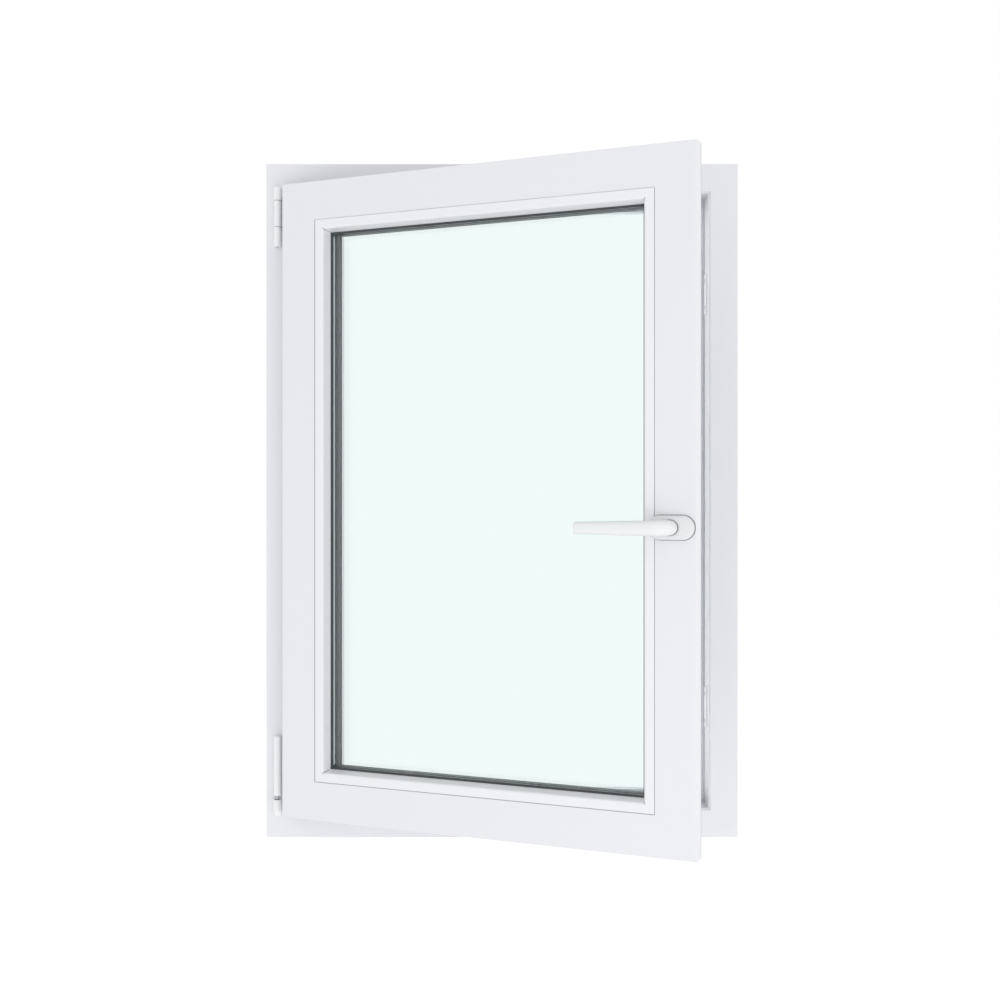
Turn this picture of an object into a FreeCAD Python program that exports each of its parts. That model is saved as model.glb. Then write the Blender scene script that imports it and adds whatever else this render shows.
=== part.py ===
import FreeCAD, Part
import os
import Sketcher

# Tilt and turn window: a white PVC-U frame and its inward-opening sash, shown turned open.
# X runs to the right as seen from the room, Y runs outdoors and Z runs up.
# The origin is the centre of the frame's bottom face. All sizes are in millimetres and degrees.

SIZES = {
    # outer frame: four mitred bars of one profile
    "frame_width": 700,
    "frame_height": 1000,
    "frame_depth": 70,
    "frame_face": 43,
    "rebate_depth": 50,
    "stop_reach": 19,
    "frame_edge_round": 1,
    "frame_step_wide": 2,
    "frame_step_deep": 2.5,
    "frame_rim_round": 1,
    "stop_corner_cut": 4,
    # sash: four mitred bars whose flange overlaps the frame
    "sash_margin": 37.5,
    "sash_depth": 69,
    "sash_face": 56.5,
    "flange_thick": 19,
    "flange_gap": 5,
    "flange_reach": 20,
    "flange_edge_round": 1,
    "sash_line_round": 1.2,
    "leg_edge_round": 1.5,
    "leg_reach": 18.5,
    "leg_slope": 9,
    "groove_width": 16,
    "groove_deep": 2.5,
    "groove_setback": 8,
    # sealed glazing unit
    "pane_thick": 4,
    "cavity": 16,
    "glass_setback": 19.5,
    "glass_gap": 6,
    "spacer_cover": 7,
    "seal_thick": 5.5,
    # glazing beads and gaskets
    "bead_flat": 13.5,
    "bead_width": 17,
    "bead_proud": 1.3,
    "bead_gap": 0.2,
    "bead_foot": 4.5,
    "bead_foot_deep": 28,
    "bead_round": 3.5,
    "bead_line_round": 1,
    "inner_gasket": 5,
    "outer_gasket": 4,
    "gasket_lip": 1.5,
    "gasket_bite": 9,
    "overlap_gasket_thick": 3.7,
    "overlap_gasket_width": 3,
    "overlap_gasket_inset": 0.4,
    "outer_gasket_inset": 3,
    "stop_gasket_thick": 4.4,
    "stop_gasket_width": 9,
    "stop_gasket_inset": 0.2,
    # turn hinge axis, and how far the sash stands open
    "pin_inset": 17.5,
    "pin_standoff": 6,
    "open_angle": 24.25,
    # stay bearing on the frame and stay arm on the sash
    "knuckle_radius": 5.5,
    "arm_knuckle_radius": 5,
    "stay_pin_radius": 2.5,
    "running_gap": 0.05,
    "knuckle_gap": 0.5,
    "bearing_drop": 36.5,
    "lower_knuckle_long": 28.5,
    "arm_knuckle_long": 39,
    "upper_knuckle_long": 19,
    "leaf_thick": 1.5,
    "arm_thick": 3,
    "arm_width": 12,
    "arm_length": 360,
    "arm_lift": 2.5,
    "arm_knuckle_side_gap": 2,
    "slide_pin_radius": 4,
    "slide_pin_long": 10,
    "slide_side_gap": 2,
    "slide_travel": 12,
    "slot_deep": 9.5,
    # corner hinge on the sash and pivot rest on the frame
    "rest_base": 34,
    "rest_long": 24,
    "rest_radius": 6,
    "rest_floor": 6,
    "bush_radius": 4.7,
    "ball_radius": 3,
    "ball_gap": 0.15,
    "ball_height": 48,
    "ball_pin_radius": 2,
    "mouth_radius": 4,
    "corner_hinge_base": 64,
    "corner_hinge_long": 87.5,
    "cover_wall": 1.5,
    "hinge_plate_thick": 3.5,
    "hinge_plate_deep": 24,
    "cover_edge": 1.2,
    "rest_edge": 3,
    # handle
    "handle_backset": 33,
    "handle_drop": 34.5,
    "rosette_long": 63,
    "rosette_high": 32.4,
    "rosette_thick": 9,
    "rosette_edge": 2.5,
    "boss_radius": 11.2,
    "boss_edge": 8,
    "lever_standoff": 46,
    "lever_thick": 12.5,
    "lever_high": 19.2,
    "lever_tip_thick": 9.5,
    "lever_tip_high": 14.8,
    "lever_reach": 119.5,
    "spindle_width": 7,
    "spindle_deep": 34,
    "spindle_gap": 0.3,
    # locking parts
    "cam_radius": 5,
    "cam_high": 3.5,
    "cam_spacing": 620,
    "striker_long": 60,
    "striker_deep": 18,
    "striker_thick": 2,
    "rail_inset": 40,
    # packers between the glass edge and the sash
    "packer_long": 100,
    "packer_deep": 13,
    "packer_inset": 110,
}

# Half the diagonal of a square whose side is 1.
HALF_DIAGONAL = 2 ** 0.5 / 2
# How far a cut starts outside the face that it opens.
OVERSHOOT = 1
# A cut right through a bar is this many frame depths long, so that it clears every section.
THROUGH = 4
# Places closer than this are the same place.
NEAR = 0.01


class Term:
    """A length that carries both its present value and its formula in the named sizes."""

    def __init__(self, value, formula):
        self.value = value
        self.formula = formula

    def __add__(self, other):
        other = as_term(other)
        return Term(self.value + other.value, f"({self.formula} + {other.formula})")

    def __sub__(self, other):
        other = as_term(other)
        return Term(self.value - other.value, f"({self.formula} - {other.formula})")

    def __mul__(self, factor):
        factor = as_term(factor)
        return Term(self.value * factor.value, f"({self.formula} * {factor.formula})")

    def __truediv__(self, divisor):
        divisor = as_term(divisor)
        return Term(self.value / divisor.value, f"({self.formula} / {divisor.formula})")

    def __neg__(self):
        return Term(-self.value, f"(0 - {self.formula})")

    def __radd__(self, other):
        return as_term(other) + self

    def __rsub__(self, other):
        return as_term(other) - self


def as_term(number):
    """A plain number as a Term, and a Term as it is."""
    if isinstance(number, Term):
        return number
    return Term(number, f"({number})")


doc = FreeCAD.newDocument("TiltAndTurnWindow")
sheet = doc.addObject("Spreadsheet::Sheet", "Sizes")
for row, (name, number) in enumerate(SIZES.items(), start=1):
    sheet.set(f"A{row}", name)
    sheet.set(f"B{row}", str(number))
    sheet.setAlias(f"B{row}", name)
doc.recompute()


def size(name):
    """The Term of one driving dimension of the sheet."""
    return Term(getattr(sheet, name), f"Sizes.{name}")


def new_body(label):
    """An empty body that becomes one sub-part, named as its file will be."""
    made = doc.addObject("PartDesign::Body", label)
    made.Label = label
    return made


def new_sketch(body, role, offset=0):
    """A sketch on one of the body's own origin planes, moved by offset along the plane's normal."""
    made = body.newObject("Sketcher::SketchObject", f"{body.Label}_sketch")
    for feature in body.Origin.OriginFeatures:
        if feature.Role == role:
            made.AttachmentSupport = (feature, [""])
    made.MapMode = "FlatFace"
    made.setExpression("AttachmentOffset.Base.z", as_term(offset).formula)
    return made


def bind(sketch, kind, first, second, value):
    """One dimension of the sketch between two of its points, tied to the sheet."""
    number = sketch.addConstraint(Sketcher.Constraint(kind, *first, *second, float(value.value)))
    sketch.setExpression(f"Constraints[{number}]", value.formula)


def add_polygon(sketch, points):
    """A closed outline of straight runs through points, each placed from the sketch's origin."""
    corners = [(as_term(across), as_term(up)) for across, up in points]
    start = sketch.GeometryCount
    count = len(corners)
    for index in range(count):
        near = corners[index]
        far = corners[(index + 1) % count]
        line = Part.LineSegment(FreeCAD.Vector(near[0].value, near[1].value, 0),
                                FreeCAD.Vector(far[0].value, far[1].value, 0))
        sketch.addGeometry(line)
    for index in range(count):
        following = start + (index + 1) % count
        sketch.addConstraint(Sketcher.Constraint("Coincident", start + index, 2, following, 1))
    for index, (across, up) in enumerate(corners):
        bind(sketch, "DistanceX", (-1, 1), (start + index, 1), across)
        bind(sketch, "DistanceY", (-1, 1), (start + index, 1), up)


def add_box_outline(sketch, left, right, low, high):
    """A rectangle in the sketch."""
    add_polygon(sketch, [(left, low), (right, low), (right, high), (left, high)])


def add_circle(sketch, across, up, radius):
    """A circle in the sketch."""
    across, up, radius = as_term(across), as_term(up), as_term(radius)
    centre = FreeCAD.Vector(across.value, up.value, 0)
    index = sketch.addGeometry(Part.Circle(centre, FreeCAD.Vector(0, 0, 1), radius.value))
    bind(sketch, "DistanceX", (-1, 1), (index, 3), across)
    bind(sketch, "DistanceY", (-1, 1), (index, 3), up)
    number = sketch.addConstraint(Sketcher.Constraint("Radius", index, float(radius.value)))
    sketch.setExpression(f"Constraints[{number}]", radius.formula)


def add_ellipse(sketch, across, up, half_across, half_up):
    """An ellipse whose longer half is upright in the sketch."""
    across, up = as_term(across), as_term(up)
    centre = FreeCAD.Vector(across.value, up.value, 0)
    tip = centre + FreeCAD.Vector(0, half_up.value, 0)
    side = centre + FreeCAD.Vector(half_across.value, 0, 0)
    index = sketch.addGeometry(Part.Ellipse(tip, side, centre))
    bind(sketch, "DistanceX", (-1, 1), (index, 3), across)
    bind(sketch, "DistanceY", (-1, 1), (index, 3), up)
    long_axis = sketch.addGeometry(Part.LineSegment(centre - FreeCAD.Vector(0, half_up.value, 0), tip),
                                   True)
    short_axis = sketch.addGeometry(Part.LineSegment(centre - FreeCAD.Vector(half_across.value, 0, 0),
                                                     side), True)
    sketch.addConstraint(Sketcher.Constraint("InternalAlignment:EllipseMajorDiameter",
                                             long_axis, index))
    sketch.addConstraint(Sketcher.Constraint("InternalAlignment:EllipseMinorDiameter",
                                             short_axis, index))
    sketch.addConstraint(Sketcher.Constraint("Vertical", long_axis))
    bind(sketch, "DistanceY", (long_axis, 1), (long_axis, 2), half_up * 2)
    bind(sketch, "DistanceX", (short_axis, 1), (short_axis, 2), half_across * 2)


def extrude(body, sketch, kind, length, symmetric=False, backwards=False):
    """A Pad or a Pocket of the sketch."""
    made = body.newObject(f"PartDesign::{kind}", f"{body.Label}_{kind.lower()}")
    made.Profile = sketch
    made.Midplane = symmetric
    made.Reversed = backwards
    made.setExpression("Length", as_term(length).formula)
    doc.recompute()
    return made


def pad(body, sketch, length, **how):
    """Material added along the sketch's normal."""
    return extrude(body, sketch, "Pad", length, **how)


def pocket(body, sketch, length, **how):
    """Material cut away against the sketch's normal, which has to take some away."""
    before = body.Shape.Volume
    made = extrude(body, sketch, "Pocket", length, **how)
    if not body.Shape.Volume < before:
        raise RuntimeError(f"a pocket in {body.Label} cuts nothing")
    return made


def revolve(body, points):
    """A solid turned about the body's Z axis from an outline of (radius, height) points."""
    sketch = new_sketch(body, "XZ_Plane")
    add_polygon(sketch, points)
    made = body.newObject("PartDesign::Revolution", f"{body.Label}_turned")
    made.Profile = sketch
    made.ReferenceAxis = (sketch, ["V_Axis"])
    made.Angle = 360
    doc.recompute()
    return made


def round_edges(body, radius, chosen):
    """Rounds those edges of the body's last feature for which chosen is true."""
    tip = body.Tip
    names = [f"Edge{number}" for number, edge in enumerate(tip.Shape.Edges, start=1) if chosen(edge)]
    if not names:
        raise RuntimeError(f"no edge of {body.Label} was found to round")
    made = body.newObject("PartDesign::Fillet", f"{body.Label}_round")
    made.Base = (tip, names)
    made.setExpression("Radius", as_term(radius).formula)
    doc.recompute()
    return made


def bevel_edges(body, width, chosen):
    """Bevels those edges of the body's last feature for which chosen is true."""
    tip = body.Tip
    names = [f"Edge{number}" for number, edge in enumerate(tip.Shape.Edges, start=1) if chosen(edge)]
    if not names:
        raise RuntimeError(f"no edge of {body.Label} was found to bevel")
    made = body.newObject("PartDesign::Chamfer", f"{body.Label}_bevel")
    made.Base = (tip, names)
    made.setExpression("Size", as_term(width).formula)
    doc.recompute()
    return made


def level_edge(height):
    """A test for an edge that lies level at one height."""
    def found(edge):
        box = edge.BoundBox
        return abs(box.ZMin - height.value) < NEAR and abs(box.ZMax - height.value) < NEAR
    return found


def facing_edge(place):
    """A test for an edge that lies in the plane at one Y place."""
    def found(edge):
        box = edge.BoundBox
        return abs(box.YMin - place.value) < NEAR and abs(box.YMax - place.value) < NEAR
    return found


def box(body, left, right, front, back, low, high):
    """A block of the body between pairs of X, Y and Z places."""
    sketch = new_sketch(body, "XZ_Plane", offset=-as_term(back))
    add_box_outline(sketch, left, right, low, high)
    return pad(body, sketch, as_term(back) - front)


# Places that follow from the sizes.
# Sash places are in the sash's own frame: its Z axis is the hinge pin's axis, its X axis
# runs along the sash from hinge side to lock side, and its Y axis points outdoors.
frame_front = -size("frame_depth") / 2
frame_back = size("frame_depth") / 2
stop_face = frame_front + size("rebate_depth")
pin_x = size("pin_inset") - size("frame_width") / 2
pin_y = frame_front - size("pin_standoff")
sash_width = size("frame_width") - size("sash_margin") * 2
sash_height = size("frame_height") - size("sash_margin") * 2
sash_left = size("sash_margin") - size("pin_inset")
sash_low = size("sash_margin")
sash_top = sash_low + sash_height
frame_face_local = size("pin_standoff")
flange_back = frame_face_local - size("flange_gap")
sash_front = flange_back - size("flange_thick")
sash_back = sash_front + size("sash_depth")
glass_front = sash_front + size("glass_setback")
glass_back = glass_front + size("pane_thick") * 2 + size("cavity")
leg_front = glass_back + size("outer_gasket")
glass_inset = size("sash_face") + size("glass_gap")
leg_inset = size("sash_face") + size("leg_reach")
groove_front = flange_back + size("groove_setback")
groove_back = groove_front + size("groove_width")
groove_middle = groove_front + size("groove_width") / 2
bearing_top = size("frame_height") - size("bearing_drop")
upper_knuckle_base = bearing_top - size("upper_knuckle_long")
arm_knuckle_base = upper_knuckle_base - size("knuckle_gap") - size("arm_knuckle_long")
lower_knuckle_top = arm_knuckle_base - size("knuckle_gap")
lower_knuckle_base = lower_knuckle_top - size("lower_knuckle_long")

PIN = (f"placement(vector({pin_x.formula}; {pin_y.formula}; 0);"
       f" rotation(vector(0; 0; 1); 0 - Sizes.open_angle))")
FRAME_MIDDLE = f"vector(0; 0; {(size('frame_height') / 2).formula})"
SASH_MIDDLE = (f"vector({(sash_left + sash_width / 2).formula}; 0;"
               f" {(sash_low + sash_height / 2).formula})")

SIDES = ("hinge", "top", "lock", "bottom")


def quarter_turn(middle, side):
    """The placement that brings a bar modelled on the hinge side round to another side."""
    return f"placement({middle}; rotation(vector(0; 1; 0); {90 * SIDES.index(side)}))"


def on_frame(body, side="hinge"):
    """Puts a body modelled about the frame's middle in its place."""
    body.setExpression("Placement", quarter_turn(FRAME_MIDDLE, side))


def on_sash(body, side="hinge"):
    """Puts a body modelled about the sash's middle in its place on the open sash."""
    body.setExpression("Placement", f"{PIN} * {quarter_turn(SASH_MIDDLE, side)}")


def on_pin(body):
    """Puts a body modelled in the sash's own frame in its place on the open sash."""
    body.setExpression("Placement", PIN)


def across_and_long(outer_width, outer_height, side):
    """The size across which a bar faces its opposite one, and the bar's own length."""
    if side in ("hinge", "lock"):
        return outer_width, outer_height
    return outer_height, outer_width


def vertical_edge_at(across, along):
    """A test for the long edge of a bar that passes through one corner of its section."""
    def found(edge):
        first, last = edge.Vertexes[0].Point, edge.Vertexes[-1].Point
        straight = abs(first.x - last.x) + abs(first.y - last.y) < NEAR
        here = abs(first.x - across.value) < NEAR and abs(first.y - along.value) < NEAR
        return straight and here and abs(first.z - last.z) > NEAR
    return found


def mitred_bar(label, outer_width, outer_height, side, section, reach, rounds=()):
    """A bar of one profile, cut at 45 degrees at both ends.

    section is a list of (inset from the outer edge, Y) corners, reach is the widest inset,
    and rounds lists the corners whose long edges are rounded, each with its radius.
    """
    across, long = across_and_long(outer_width, outer_height, side)
    edge = -across / 2
    body = new_body(label)
    sketch = new_sketch(body, "XY_Plane")
    add_polygon(sketch, [(edge + inset, along) for inset, along in section])
    pad(body, sketch, long, symmetric=True)
    for inset, along, radius in rounds:
        round_edges(body, radius, vertical_edge_at(edge + inset, as_term(along)))
    mitre = new_sketch(body, "XZ_Plane")
    for sign in (1, -1):
        end = long / 2 * sign
        add_polygon(mitre, [(edge, end), (edge + reach, end - reach * sign), (edge + reach, end)])
    pocket(body, mitre, size("frame_depth") * THROUGH, symmetric=True)
    return body


def ring(label, outer_width, outer_height, outer_inset, inner_inset, front, back):
    """A rectangular ring with a plain section, between two insets from the outer edge."""
    body = new_body(label)
    sketch = new_sketch(body, "XZ_Plane", offset=-back)
    for inset in (outer_inset, inner_inset):
        half_width = outer_width / 2 - inset
        half_height = outer_height / 2 - inset
        add_box_outline(sketch, -half_width, half_width, -half_height, half_height)
    pad(body, sketch, back - front)
    return body


# Outer frame: an L-shaped section with a face to the room and a stop leg outdoors.
# The stop leg's inner corner is cut back so that the section looks lighter from outside.
def make_frame():
    stop_inset = size("frame_face") + size("stop_reach")
    corner_cut = size("stop_corner_cut")
    step_inset = size("frame_face") - size("frame_step_wide")
    step_floor = frame_front + size("frame_step_deep")
    section = [(0, frame_front), (step_inset, frame_front), (step_inset, step_floor),
               (size("frame_face"), step_floor), (size("frame_face"), stop_face),
               (stop_inset, stop_face), (stop_inset, frame_back - corner_cut),
               (stop_inset - corner_cut, frame_back), (0, frame_back)]
    rounds = [(step_inset, frame_front, size("frame_edge_round")),
              (0, frame_front, size("frame_rim_round"))]
    labels = {"hinge": "frame_hinge_jamb", "top": "frame_head", "lock": "frame_lock_jamb",
              "bottom": "frame_sill"}
    for side, label in labels.items():
        bar = mitred_bar(label, size("frame_width"), size("frame_height"), side, section,
                         stop_inset, rounds)
        on_frame(bar, side)
    gasket_edge = stop_inset - size("stop_gasket_inset")
    gasket = ring("frame_stop_gasket", size("frame_width"), size("frame_height"),
                  gasket_edge - size("stop_gasket_width"), gasket_edge,
                  stop_face - size("stop_gasket_thick"), stop_face)
    on_frame(gasket)


# Sash: a flange that laps over the frame, a groove for the locking gear in its outer wall,
# and an outer leg that the glass is pressed against.
def sash_section():
    return [(0, sash_front), (size("sash_face"), sash_front), (size("sash_face"), leg_front),
            (leg_inset, leg_front), (leg_inset - size("leg_slope"), sash_back),
            (size("flange_reach"), sash_back), (size("flange_reach"), groove_back),
            (size("flange_reach") + size("groove_deep"), groove_back),
            (size("flange_reach") + size("groove_deep"), groove_front),
            (size("flange_reach"), groove_front), (size("flange_reach"), flange_back),
            (0, flange_back)]


def slot_cut(body, depth):
    """The slot along the top of the sash in which the stay arm's pin slides."""
    across = sash_height
    edge = size("flange_reach") - across / 2
    half = size("slide_pin_radius") + size("slide_side_gap")
    far = size("arm_length") - (sash_left + sash_width / 2)
    sketch = new_sketch(body, "XZ_Plane", offset=-groove_middle)
    add_box_outline(sketch, edge - OVERSHOOT, edge + depth, far - half - size("slide_travel"),
                    far + half)
    pocket(body, sketch, half * 2, symmetric=True)


def make_sash():
    rounds = [(0, sash_front, size("flange_edge_round")),
              (size("sash_face"), sash_front, size("sash_line_round")),
              (leg_inset - size("leg_slope"), sash_back, size("leg_edge_round"))]
    labels = {"hinge": "sash_hinge_stile", "top": "sash_top_rail", "lock": "sash_lock_stile",
              "bottom": "sash_bottom_rail"}
    for side, label in labels.items():
        bar = mitred_bar(label, sash_width, sash_height, side, sash_section(), leg_inset, rounds)
        if side == "top":
            slot_cut(bar, size("slot_deep"))
        if side == "lock":
            hole = new_sketch(bar, "XZ_Plane", offset=-sash_front)
            add_circle(hole, size("handle_backset") - sash_width / 2, size("handle_drop"),
                       size("spindle_width") * HALF_DIAGONAL + size("spindle_gap"))
            pocket(bar, hole, size("spindle_deep") + size("spindle_gap"))
        on_sash(bar, side)
    overlap = ring("overlap_gasket", sash_width, sash_height, size("overlap_gasket_inset"),
                   size("overlap_gasket_inset") + size("overlap_gasket_width"),
                   flange_back, flange_back + size("overlap_gasket_thick"))
    gaps = new_sketch(overlap, "XZ_Plane")
    middle = sash_low + sash_height / 2
    wall = size("flange_reach") - sash_width / 2
    hinge_top = size("corner_hinge_base") + size("corner_hinge_long")
    for low, high in ((size("corner_hinge_base"), hinge_top),
                      (lower_knuckle_top,
                       sash_top - size("flange_reach") + size("arm_lift") + size("arm_thick") * 2)):
        add_box_outline(gaps, -sash_width / 2, wall, low - middle, high - middle)
    pocket(overlap, gaps, size("frame_depth"), symmetric=True)
    on_sash(overlap)


# Sealed unit: two panes held apart by a spacer bar, with a bead of sealant round the edge.
def make_glazing():
    cavity_front = glass_front + size("pane_thick")
    cavity_back = cavity_front + size("cavity")
    for label, front in (("inner_pane", glass_front), ("outer_pane", cavity_back)):
        pane = new_body(label)
        half_width = sash_width / 2 - glass_inset
        half_height = sash_height / 2 - glass_inset
        box(pane, -half_width, half_width, front, front + size("pane_thick"),
            -half_height, half_height)
        on_sash(pane)
    seal_inset = glass_inset + size("seal_thick")
    seal = ring("edge_seal", sash_width, sash_height, glass_inset, seal_inset,
                cavity_front, cavity_back)
    on_sash(seal)
    spacer = ring("spacer_bar", sash_width, sash_height, seal_inset,
                  seal_inset + size("spacer_cover"), cavity_front, cavity_back)
    on_sash(spacer)
    bead_edge = size("sash_face") + size("bead_width")
    inner = ring("inner_glazing_gasket", sash_width, sash_height,
                 bead_edge - size("gasket_bite"), bead_edge + size("gasket_lip"),
                 glass_front - size("inner_gasket"), glass_front)
    on_sash(inner)
    outer = ring("outer_glazing_gasket", sash_width, sash_height,
                 bead_edge - size("gasket_bite"), leg_inset - size("outer_gasket_inset"),
                 glass_back, leg_front)
    on_sash(outer)


# Glazing beads: a foot that clips in beside the glass, a flat face and a curved inner slope.
def make_beads():
    face = size("sash_face")
    bead_front = sash_front - size("bead_proud")
    bead_back = glass_front - size("inner_gasket")
    section = [(face, bead_front), (face + size("bead_flat"), bead_front),
               (face + size("bead_width"), bead_back), (face + size("bead_foot"), bead_back),
               (face + size("bead_foot"), bead_front + size("bead_foot_deep")),
               (face, bead_front + size("bead_foot_deep"))]
    rounds = [(face + size("bead_flat"), bead_front, size("bead_round")),
              (face, bead_front, size("bead_line_round"))]
    for side in SIDES:
        bead = mitred_bar(f"glazing_bead_{side}", sash_width, sash_height, side, section,
                          face + size("bead_width"), rounds)
        on_sash(bead, side)


# Packers: short blocks that carry the glass and centre it in the sash.
def make_packers():
    body = new_body("glazing_packers")
    sketch = new_sketch(body, "XZ_Plane", offset=-glass_back)
    outer_width = sash_width / 2 - size("sash_face")
    outer_height = sash_height / 2 - size("sash_face")
    inner_width = sash_width / 2 - glass_inset
    inner_height = sash_height / 2 - glass_inset
    half = size("packer_long") / 2
    for sign in (1, -1):
        for place in (1, -1):
            along = (outer_width - size("packer_inset")) * place
            add_box_outline(sketch, along - half, along + half,
                            inner_height * sign, outer_height * sign)
            along = (outer_height - size("packer_inset")) * place
            add_box_outline(sketch, inner_width * sign, outer_width * sign,
                            along - half, along + half)
    pad(body, sketch, size("packer_deep"))
    on_sash(body)


# Stay bearing: two knuckles on the frame and the pin through them.
def make_stay_bearing():
    body = new_body("stay_bearing")
    for low, high in ((lower_knuckle_base, lower_knuckle_top), (upper_knuckle_base, bearing_top)):
        sketch = new_sketch(body, "XY_Plane", offset=low)
        add_circle(sketch, 0, 0, size("knuckle_radius"))
        pad(body, sketch, high - low)
        box(body, -size("knuckle_radius"), -size("stay_pin_radius"), 0, frame_face_local, low, high)
    box(body, -size("knuckle_radius"), -size("stay_pin_radius"),
        frame_face_local - size("leaf_thick"), frame_face_local,
        lower_knuckle_base, bearing_top)
    bore = new_sketch(body, "XY_Plane", offset=bearing_top)
    add_circle(bore, 0, 0, size("stay_pin_radius"))
    pocket(body, bore, bearing_top - lower_knuckle_base)
    place_on_frame_pin(body)
    pin = new_body("stay_bearing_pin")
    round_bar = new_sketch(pin, "XY_Plane", offset=lower_knuckle_base)
    add_circle(round_bar, 0, 0, size("stay_pin_radius"))
    pad(pin, round_bar, bearing_top - lower_knuckle_base)
    place_on_frame_pin(pin)


def place_on_frame_pin(body):
    """Puts a body that is fixed to the frame at the hinge pin's axis."""
    body.setExpression("Placement",
                       f"placement(vector({pin_x.formula}; {pin_y.formula}; 0); rotation(0; 0; 0))")


# Stay arm: the middle knuckle, a plate behind the flange, and the flat arm over the sash.
def make_stay_arm():
    knuckle_low = arm_knuckle_base
    knuckle_high = arm_knuckle_base + size("arm_knuckle_long")
    arm_low = sash_top - size("flange_reach") + size("arm_lift")
    arm_high = arm_low + size("arm_thick")
    plate_front = flange_back + (size("flange_gap") - size("arm_thick")) / 2
    plate_back = plate_front + size("arm_thick")
    rebate_wall = size("frame_face") - size("pin_inset")
    gap_middle = rebate_wall + (sash_left + size("flange_reach") - rebate_wall) / 2
    run_front = groove_middle - size("arm_width") / 2
    run_back = groove_middle + size("arm_width") / 2
    run_start = size("knuckle_radius") + size("arm_knuckle_side_gap")
    body = new_body("stay_arm")
    knuckle = new_sketch(body, "XY_Plane", offset=knuckle_low)
    add_circle(knuckle, 0, 0, size("arm_knuckle_radius"))
    pad(body, knuckle, knuckle_high - knuckle_low)
    box(body, 0, gap_middle, plate_front, plate_back, knuckle_low, knuckle_high)
    box(body, run_start, gap_middle, plate_front, plate_back, knuckle_high - OVERSHOOT, arm_high)
    run = new_sketch(body, "XY_Plane", offset=arm_low)
    add_polygon(run, [(run_start, plate_front),
                      (gap_middle + size("arm_width"), plate_front),
                      (gap_middle + size("arm_width") * 2, run_front),
                      (size("arm_length") + size("arm_width") / 2, run_front),
                      (size("arm_length") + size("arm_width") / 2, run_back),
                      (gap_middle + size("arm_width") / 2, run_back),
                      (gap_middle - size("arm_thick"), plate_back + size("arm_thick")),
                      (gap_middle - size("arm_thick"), plate_back),
                      (run_start, plate_back)])
    pad(body, run, size("arm_thick"))
    bore = new_sketch(body, "XY_Plane", offset=knuckle_high)
    add_circle(bore, 0, 0, size("stay_pin_radius") + size("running_gap"))
    pocket(body, bore, knuckle_high - knuckle_low)
    on_pin(body)
    pin = new_body("stay_slide_pin")
    disc = new_sketch(pin, "XY_Plane", offset=arm_low)
    add_circle(disc, size("arm_length"), groove_middle, size("slide_pin_radius"))
    pad(pin, disc, size("slide_pin_long"), backwards=True)
    on_pin(pin)


# Locking gear: a slotted rail on the sash's top edge, a faceplate with two cams on the
# lock side, and the strikers that face them on the frame.
def make_locking():
    half = sash_height / 2 - size("flange_reach")
    rail = new_body("stay_rail")
    strip = new_sketch(rail, "XY_Plane")
    add_box_outline(strip, -half, size("groove_deep") - half, groove_front, groove_back)
    pad(rail, strip, sash_width - size("rail_inset") * 2, symmetric=True)
    slot_cut(rail, size("groove_deep") + OVERSHOOT)
    on_sash(rail, "top")
    half = sash_width / 2 - size("flange_reach")
    plate = new_body("lock_faceplate")
    strip = new_sketch(plate, "XY_Plane")
    add_box_outline(strip, -half, size("groove_deep") - half, groove_front, groove_back)
    pad(plate, strip, sash_height - size("rail_inset") * 2, symmetric=True)
    on_sash(plate, "lock")
    cams = new_body("locking_cams")
    discs = new_sketch(cams, "YZ_Plane", offset=-half)
    for sign in (1, -1):
        add_circle(discs, groove_middle, size("cam_spacing") / 2 * sign, size("cam_radius"))
    pad(cams, discs, size("cam_high"), backwards=True)
    on_sash(cams, "lock")
    strikers = new_body("lock_strikers")
    wall = size("frame_face") - size("frame_width") / 2
    middle = frame_front + size("rebate_depth") / 2
    blocks = new_sketch(strikers, "YZ_Plane", offset=wall)
    for sign in (1, -1):
        along = size("cam_spacing") / 2 * sign
        add_box_outline(blocks, middle - size("striker_deep") / 2, middle + size("striker_deep") / 2,
                        along - size("striker_long") / 2, along + size("striker_long") / 2)
    pad(strikers, blocks, size("striker_thick"))
    on_frame(strikers, "lock")


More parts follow.
